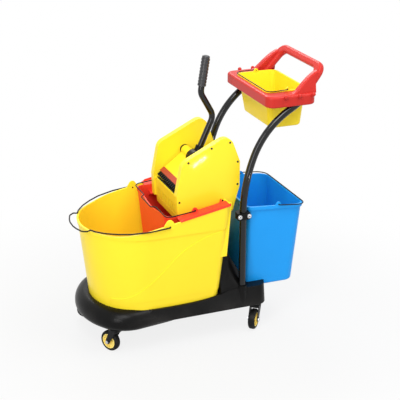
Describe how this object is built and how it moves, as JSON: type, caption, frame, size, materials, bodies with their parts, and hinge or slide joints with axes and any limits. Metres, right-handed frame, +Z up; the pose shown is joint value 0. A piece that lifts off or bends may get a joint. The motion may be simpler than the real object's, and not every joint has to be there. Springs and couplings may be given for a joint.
{
  "type": "triple mop bucket trolley",
  "caption": "Wheeled mop trolley: moulded base on castors, front bucket with an inner bucket and lever wringer, rear bucket, and a raked push bar holding a caddy.",
  "frame": {"origin": "on the floor, below the middle of the trolley's length and width", "axes": "+Z up, +X to the back where the push bar is, +Y to the right of someone pushing the trolley forward along -X"},
  "size_m": [0.8803, 0.4314, 0.9893],
  "materials": {
    "black_plastic": "satin moulded",
    "yellow_plastic": "semi-gloss moulded",
    "red_plastic": "semi-gloss moulded",
    "blue_plastic": "semi-gloss moulded",
    "red_rubber": "matte",
    "black_comb": "matte moulded",
    "grip_rubber": "matte ribbed",
    "dark_screw": "blackened",
    "bright_bolt": "bright plated",
    "steel": "zinc plated",
    "black_tube": "gloss black enamel",
    "black_wire": "black coated wire",
    "black_fork": "black coated",
    "yellow_hub": "moulded",
    "tyre": "matte"
  },
  "bodies": {
    "chassis": {"base": "black_plastic", "handle_tray": "red_plastic", "clamp_bolts": "bright_bolt", "castor_seat_front_left": "steel", "castor_seat_front_right": "steel", "castor_seat_rear_left": "steel", "castor_seat_rear_right": "steel", "lower_post_left": "black_tube", "upper_post_left": "black_tube", "post_sleeve_left": "steel", "post_clamp_left": "black_plastic", "lower_post_right": "black_tube", "upper_post_right": "black_tube", "post_sleeve_right": "steel", "post_clamp_right": "black_plastic"},
    "main_bucket": {"main_bucket": "yellow_plastic"},
    "main_bail": {"main_bail": "black_wire"},
    "inner_bucket": {"inner_bucket": "red_plastic"},
    "inner_bail": {"inner_bail": "black_wire"},
    "wringer": {"wringer_frame": "yellow_plastic", "side_cover_left": "yellow_plastic", "side_cover_right": "yellow_plastic", "shaft_bush_left": "black_comb", "shaft_bush_right": "black_comb", "cover_screws": "dark_screw", "strainer": "black_comb"},
    "lever": {"lever_shaft": "steel", "lever_hub": "black_plastic", "lever_tube": "black_tube", "lever_grip": "grip_rubber", "press_plate": "yellow_plastic", "press_strip": "red_rubber", "press_comb": "black_comb"},
    "rear_bucket": {"rear_bucket": "blue_plastic"},
    "rear_bail": {"rear_bail": "black_wire"},
    "caddy": {"caddy": "yellow_plastic"},
    "caddy_bail": {"caddy_bail": "black_wire"},
    "fork_front_left": {"fork_front_left": "black_fork", "axle_bolt_front_left": "steel"},
    "wheel_front_left": {"wheel_hub_front_left": "yellow_hub", "tyre_front_left": "tyre"},
    "fork_front_right": {"fork_front_right": "black_fork", "axle_bolt_front_right": "steel"},
    "wheel_front_right": {"wheel_hub_front_right": "yellow_hub", "tyre_front_right": "tyre"},
    "fork_rear_left": {"fork_rear_left": "black_fork", "axle_bolt_rear_left": "steel"},
    "wheel_rear_left": {"wheel_hub_rear_left": "yellow_hub", "tyre_rear_left": "tyre"},
    "fork_rear_right": {"fork_rear_right": "black_fork", "axle_bolt_rear_right": "steel"},
    "wheel_rear_right": {"wheel_hub_rear_right": "yellow_hub", "tyre_rear_right": "tyre"}
  },
  "joints": [
    {"name": "swivel_front_left", "type": "hinge", "parent": "chassis", "child": "fork_front_left", "pos_m": [-0.338, -0.152, 0.083], "axis": [0, 0, 1], "continuous": true},
    {"name": "roll_front_left", "type": "hinge", "parent": "fork_front_left", "child": "wheel_front_left", "pos_m": [-0.34966, -0.13334, 0.0375], "axis": [-0.848, -0.5299, 0], "continuous": true},
    {"name": "swivel_front_right", "type": "hinge", "parent": "chassis", "child": "fork_front_right", "pos_m": [-0.338, 0.152, 0.083], "axis": [0, 0, 1], "continuous": true},
    {"name": "roll_front_right", "type": "hinge", "parent": "fork_front_right", "child": "wheel_front_right", "pos_m": [-0.35867, 0.14448, 0.0375], "axis": [0.342, -0.9397, 0], "continuous": true},
    {"name": "swivel_rear_left", "type": "hinge", "parent": "chassis", "child": "fork_rear_left", "pos_m": [0.196, -0.15, 0.083], "axis": [0, 0, 1], "continuous": true},
    {"name": "roll_rear_left", "type": "hinge", "parent": "fork_rear_left", "child": "wheel_rear_left", "pos_m": [0.18157, -0.1666, 0.0375], "axis": [0.7547, -0.6561, 0], "continuous": true},
    {"name": "swivel_rear_right", "type": "hinge", "parent": "chassis", "child": "fork_rear_right", "pos_m": [0.196, 0.15, 0.083], "axis": [0, 0, 1], "continuous": true},
    {"name": "roll_rear_right", "type": "hinge", "parent": "fork_rear_right", "child": "wheel_rear_right", "pos_m": [0.17695, 0.161, 0.0375], "axis": [-0.5, -0.866, 0], "continuous": true},
    {"name": "main_bucket_lift", "type": "slide", "parent": "chassis", "child": "main_bucket", "axis": [0, 0, 1], "range_m": [0, 0.15]},
    {"name": "main_bail_swing", "type": "hinge", "parent": "main_bucket", "child": "main_bail", "pos_m": [-0.15, 0, 0.464], "axis": [0, 1, 0], "range_deg": [0, 85]},
    {"name": "inner_bucket_lift", "type": "slide", "parent": "main_bucket", "child": "inner_bucket", "axis": [0, 0, 1], "range_m": [0, 0.1]},
    {"name": "inner_bail_swing", "type": "hinge", "parent": "inner_bucket", "child": "inner_bail", "pos_m": [-0.045, 0, 0.49593], "axis": [0, 1, 0], "range_deg": [0, 55]},
    {"name": "wringer_lift", "type": "slide", "parent": "inner_bucket", "child": "wringer", "axis": [0, 0, 1], "range_m": [0, 0.1]},
    {"name": "lever_pull", "type": "hinge", "parent": "wringer", "child": "lever", "pos_m": [0.02, 0, 0.622], "axis": [0, -1, 0], "range_deg": [0, 50]},
    {"name": "rear_bucket_lift", "type": "slide", "parent": "chassis", "child": "rear_bucket", "axis": [0, 0, 1], "range_m": [0, 0.06]},
    {"name": "rear_bail_swing", "type": "hinge", "parent": "rear_bucket", "child": "rear_bail", "pos_m": [0.268, 0, 0.47403], "axis": [0, -1, 0], "range_deg": [0, 90]},
    {"name": "caddy_lift", "type": "slide", "parent": "chassis", "child": "caddy", "axis": [0, 0, 1], "range_m": [0, 0.14]},
    {"name": "caddy_bail_swing", "type": "hinge", "parent": "caddy", "child": "caddy_bail", "pos_m": [0.308, 0, 0.8793], "axis": [0, 1, 0], "range_deg": [0, 90]}
  ]
}
